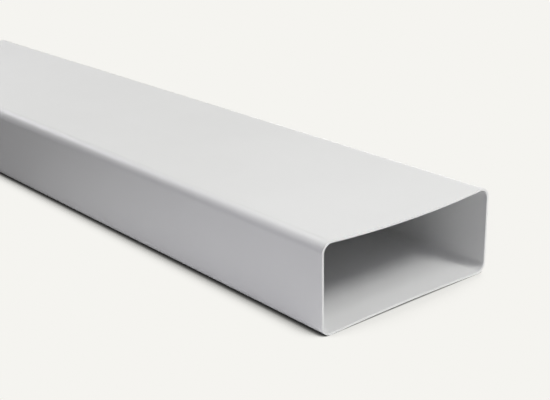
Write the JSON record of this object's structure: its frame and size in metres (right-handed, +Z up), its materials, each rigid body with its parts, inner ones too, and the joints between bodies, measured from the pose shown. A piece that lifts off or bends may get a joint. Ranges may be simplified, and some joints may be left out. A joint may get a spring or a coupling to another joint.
{
  "type": "flat channel duct",
  "caption": "Straight rectangular plastic ventilation duct with rounded corners, a thin even wall and open sawn ends, for carrying air flat along a wall, floor or ceiling void.",
  "frame": {"origin": "on the floor, under the middle of the duct's length and width", "axes": "+X along the duct towards one open end, +Y across its width, +Z up through the wide top wall"},
  "size_m": [1, 0.22, 0.09],
  "materials": {
    "rigid_pvc": "satin"
  },
  "bodies": {
    "root": {"duct_channel": "rigid_pvc"}
  },
  "joints": []
}
